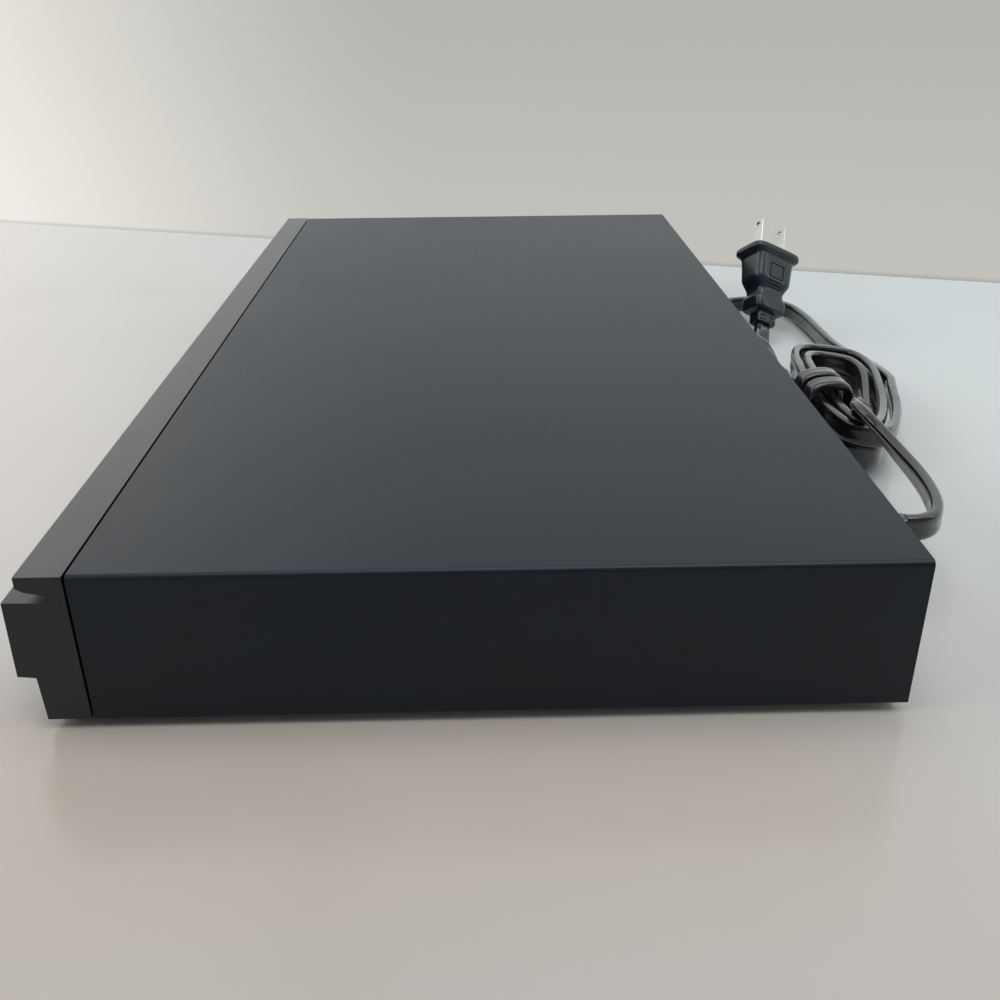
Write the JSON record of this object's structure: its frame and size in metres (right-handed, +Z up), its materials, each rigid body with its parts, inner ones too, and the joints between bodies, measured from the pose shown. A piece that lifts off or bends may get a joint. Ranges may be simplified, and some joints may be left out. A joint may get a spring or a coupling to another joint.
{
  "type": "disc player",
  "caption": "Slim disc player with a sliding disc tray, working drive mechanism, push keys, hinged socket flap, and a bound flat mains cord with plug.",
  "frame": {"origin": "under the middle of the casing, on the surface that it stands on", "axes": "+Z up, -Y towards the front with the disc tray, +X towards the keys"},
  "size_m": [0.36, 0.2568, 0.0508],
  "materials": {
    "powder_coat": "satin powder coat",
    "black_plastic": "fine matt texture",
    "gloss_plastic": "gloss smoked",
    "grey_plastic": "matt moulded",
    "white_plastic": "natural acetal",
    "zinc_steel": "zinc plated",
    "bright_steel": "bright nickel plate",
    "brass": "turned",
    "rubber": "matt",
    "circuit_board": "solder mask",
    "brown_board": "paper laminate",
    "aluminium": "extruded",
    "cord_jacket": "satin flexible jacket",
    "plug_jacket": "satin moulded",
    "flat_cable": "smooth",
    "lens_glass": "clear coated",
    "capacitor_sleeve": "shrink sleeve"
  },
  "bodies": {
    "casing": {"top_cover": "powder_coat", "bottom_chassis": "zinc_steel", "rear_panel": "powder_coat", "front_bezel": "black_plastic", "display_window": "gloss_plastic", "foot_front_left": "rubber", "foot_front_right": "rubber", "foot_rear_left": "rubber", "foot_rear_right": "rubber", "rear_screw_1": "zinc_steel", "rear_screw_2": "zinc_steel", "rear_screw_3": "zinc_steel", "rear_screw_4": "zinc_steel", "loader_frame": "black_plastic", "clamp_bridge": "zinc_steel", "loading_motor": "zinc_steel", "drive_belt": "rubber", "main_board": "circuit_board", "main_heatsink": "aluminium", "hdmi_port": "bright_steel", "lan_port": "bright_steel", "power_board": "brown_board", "transformer": "grey_plastic", "mains_capacitor": "capacitor_sleeve", "front_board": "circuit_board", "display_module": "gloss_plastic", "usb_port": "bright_steel", "drive_ribbon": "flat_cable", "front_ribbon": "flat_cable", "power_leads": "white_plastic", "cord_grommet": "cord_jacket", "cord_lead": "cord_jacket", "cord_wraps": "cord_jacket", "cord_far_loop": "cord_jacket", "cord_hank": "cord_jacket", "cord_tail": "cord_jacket", "plug_body": "plug_jacket", "plug_blade_left": "bright_steel", "plug_blade_right": "bright_steel"},
    "tray": {"disc_tray": "black_plastic", "tray_door": "black_plastic"},
    "tray_gear": {"tray_gear": "white_plastic"},
    "pulley_gear": {"pulley_gear": "white_plastic"},
    "motor_pulley": {"motor_pulley": "brass"},
    "cam": {"cam_slider": "white_plastic"},
    "deck": {"traverse_deck": "zinc_steel", "spindle_motor": "zinc_steel", "guide_rod_left": "bright_steel", "guide_rod_right": "bright_steel", "sled_motor": "zinc_steel"},
    "spindle": {"turntable": "grey_plastic"},
    "puck": {"clamp_puck": "grey_plastic"},
    "sled": {"pickup_sled": "black_plastic"},
    "lens": {"objective_lens": "lens_glass"},
    "lead_screw": {"lead_screw": "bright_steel"},
    "power_key": {"power_button": "black_plastic"},
    "stop_key": {"stop_button": "black_plastic"},
    "play_key": {"play_button": "black_plastic"},
    "eject_key": {"eject_button": "black_plastic"},
    "usb_door": {"usb_flap": "black_plastic"}
  },
  "joints": [
    {"name": "tray_slide", "type": "slide", "parent": "casing", "child": "tray", "axis": [0, -1, 0], "range_m": [0, 0.13]},
    {"name": "tray_gear_turn", "type": "hinge", "parent": "casing", "child": "tray_gear", "pos_m": [-0.128, -0.071, 0.018], "axis": [0, 0, 1], "range_deg": [0, 745.3]},
    {"name": "pulley_gear_turn", "type": "hinge", "parent": "casing", "child": "pulley_gear", "pos_m": [-0.113, -0.071, 0.016], "axis": [0, 0, 1], "range_deg": [-1490.7, 0]},
    {"name": "motor_pulley_turn", "type": "hinge", "parent": "casing", "child": "motor_pulley", "pos_m": [-0.082, -0.071, 0.014], "axis": [0, 0, 1], "range_deg": [-4603, 0]},
    {"name": "deck_tilt", "type": "hinge", "parent": "casing", "child": "deck", "pos_m": [-0.088, 0.066, 0.0125], "axis": [1, 0, 0], "range_deg": [0, 3.28]},
    {"name": "cam_slide", "type": "slide", "parent": "casing", "child": "cam", "axis": [1, 0, 0], "range_m": [0, 0.016]},
    {"name": "spindle_spin", "type": "hinge", "parent": "deck", "child": "spindle", "pos_m": [-0.088, -0.029, 0.02], "axis": [0, 0, 1], "continuous": true},
    {"name": "clamp_puck_spin", "type": "hinge", "parent": "casing", "child": "puck", "pos_m": [-0.088, -0.029, 0.029], "axis": [0, 0, 1], "continuous": true},
    {"name": "sled_slide", "type": "slide", "parent": "deck", "child": "sled", "axis": [0, 1, 0], "range_m": [0, 0.0355]},
    {"name": "lead_screw_turn", "type": "hinge", "parent": "deck", "child": "lead_screw", "pos_m": [-0.0575, 0.02, 0.01], "axis": [0, 1, 0], "range_deg": [0, 4261]},
    {"name": "lens_focus", "type": "slide", "parent": "sled", "child": "lens", "axis": [0, 0, 1], "range_m": [-0.0005, 0.0005], "stiffness_N_per_m": 60},
    {"name": "power_press", "type": "slide", "parent": "casing", "child": "power_key", "axis": [0, 1, 0], "range_m": [0, 0.0008], "stiffness_N_per_m": 900, "springref_m": -0.0004},
    {"name": "stop_press", "type": "slide", "parent": "casing", "child": "stop_key", "axis": [0, 1, 0], "range_m": [0, 0.0008], "stiffness_N_per_m": 900, "springref_m": -0.0004},
    {"name": "play_press", "type": "slide", "parent": "casing", "child": "play_key", "axis": [0, 1, 0], "range_m": [0, 0.0008], "stiffness_N_per_m": 900, "springref_m": -0.0004},
    {"name": "eject_press", "type": "slide", "parent": "casing", "child": "eject_key", "axis": [0, 1, 0], "range_m": [0, 0.0008], "stiffness_N_per_m": 900, "springref_m": -0.0004},
    {"name": "usb_flap_hinge", "type": "hinge", "parent": "casing", "child": "usb_door", "pos_m": [0.093, -0.09699, 0.0196], "axis": [1, 0, 0], "range_deg": [0, 90]}
  ],
  "couplings": [
    {"joint": "tray_gear_turn", "follows": "tray_slide", "rad_per_m": 100},
    {"joint": "pulley_gear_turn", "follows": "tray_slide", "rad_per_m": -200},
    {"joint": "motor_pulley_turn", "follows": "tray_slide", "rad_per_m": -617.9},
    {"joint": "cam_slide", "follows": "deck_tilt", "m_per_rad": 0.27944},
    {"joint": "clamp_puck_spin", "follows": "spindle_spin", "ratio": 1},
    {"joint": "lead_screw_turn", "follows": "sled_slide", "rad_per_m": 2094.4}
  ]
}
